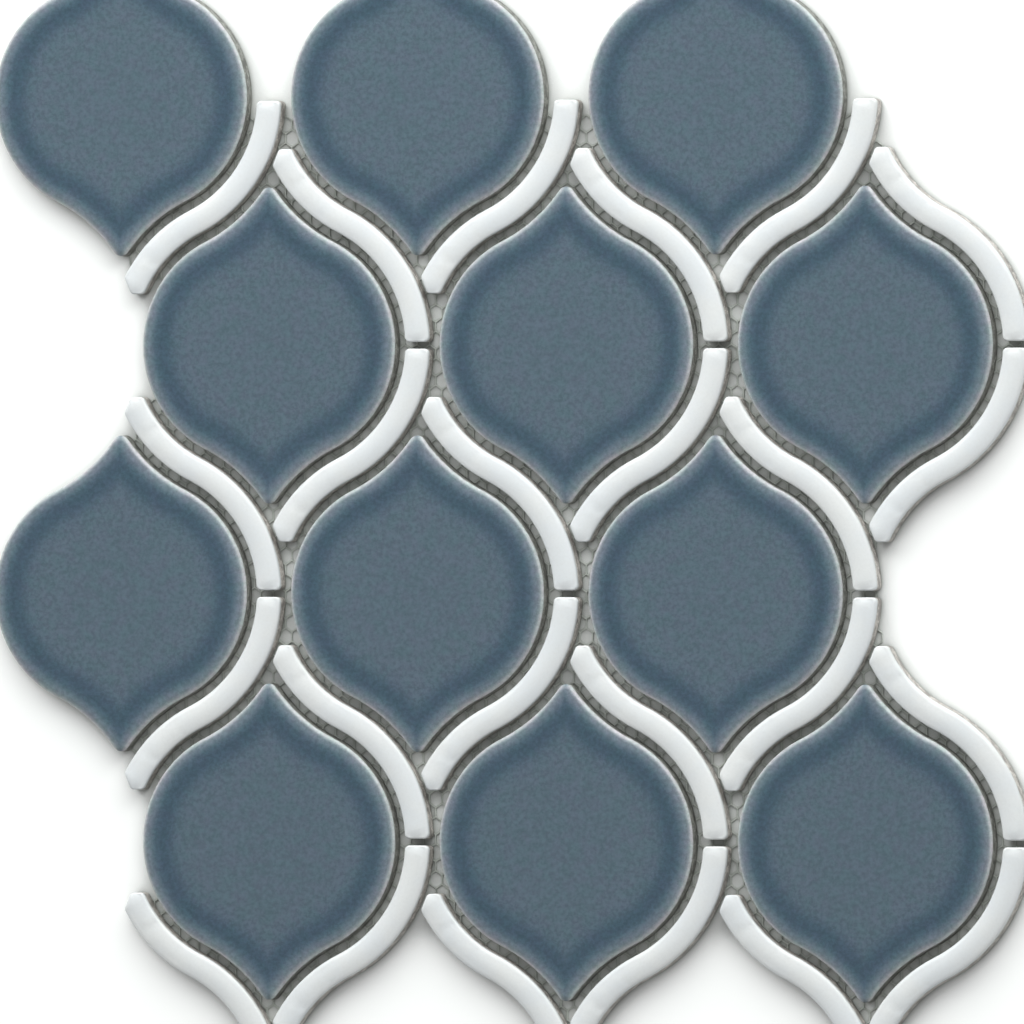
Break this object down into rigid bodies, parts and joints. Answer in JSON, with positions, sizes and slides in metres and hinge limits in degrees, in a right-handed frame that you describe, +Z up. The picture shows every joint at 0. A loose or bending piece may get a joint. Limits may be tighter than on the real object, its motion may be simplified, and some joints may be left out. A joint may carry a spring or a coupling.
{
  "type": "moroccan arabesque mosaic tile sheet",
  "caption": "Mesh-mounted mosaic sheet of slate-blue glazed lantern tiles framed by white glazed S-shaped border strips.",
  "frame": {"origin": "centre of the overall outline seen from above, on the underside of the net", "axes": "+Z up out of the glazed faces, +Y towards the lantern tips of the first row (up in the picture), +X to the right"},
  "size_m": [0.3206, 0.345, 0.0075],
  "materials": {
    "blue_glazed_tile": "gloss",
    "white_glazed_strip": "gloss",
    "net": "matte"
  },
  "bodies": {
    "root": {"lantern_tile_r1_c1": "blue_glazed_tile", "lower_border_strip_r1_c1": "white_glazed_strip", "lantern_tile_r1_c2": "blue_glazed_tile", "lower_border_strip_r1_c2": "white_glazed_strip", "lantern_tile_r1_c3": "blue_glazed_tile", "lower_border_strip_r1_c3": "white_glazed_strip", "lantern_tile_r2_c1": "blue_glazed_tile", "lower_border_strip_r2_c1": "white_glazed_strip", "upper_border_strip_r2_c1": "white_glazed_strip", "lantern_tile_r2_c2": "blue_glazed_tile", "lower_border_strip_r2_c2": "white_glazed_strip", "upper_border_strip_r2_c2": "white_glazed_strip", "lantern_tile_r2_c3": "blue_glazed_tile", "lower_border_strip_r2_c3": "white_glazed_strip", "upper_border_strip_r2_c3": "white_glazed_strip", "lantern_tile_r3_c1": "blue_glazed_tile", "lower_border_strip_r3_c1": "white_glazed_strip", "upper_border_strip_r3_c1": "white_glazed_strip", "lantern_tile_r3_c2": "blue_glazed_tile", "lower_border_strip_r3_c2": "white_glazed_strip", "upper_border_strip_r3_c2": "white_glazed_strip", "lantern_tile_r3_c3": "blue_glazed_tile", "lower_border_strip_r3_c3": "white_glazed_strip", "upper_border_strip_r3_c3": "white_glazed_strip", "lantern_tile_r4_c1": "blue_glazed_tile", "lower_border_strip_r4_c1": "white_glazed_strip", "upper_border_strip_r4_c1": "white_glazed_strip", "lantern_tile_r4_c2": "blue_glazed_tile", "lower_border_strip_r4_c2": "white_glazed_strip", "upper_border_strip_r4_c2": "white_glazed_strip", "lantern_tile_r4_c3": "blue_glazed_tile", "lower_border_strip_r4_c3": "white_glazed_strip", "upper_border_strip_r4_c3": "white_glazed_strip", "upper_border_strip_r5_c1": "white_glazed_strip", "upper_border_strip_r5_c2": "white_glazed_strip", "upper_border_strip_r5_c3": "white_glazed_strip", "mesh_backing": "net"}
  },
  "joints": []
}
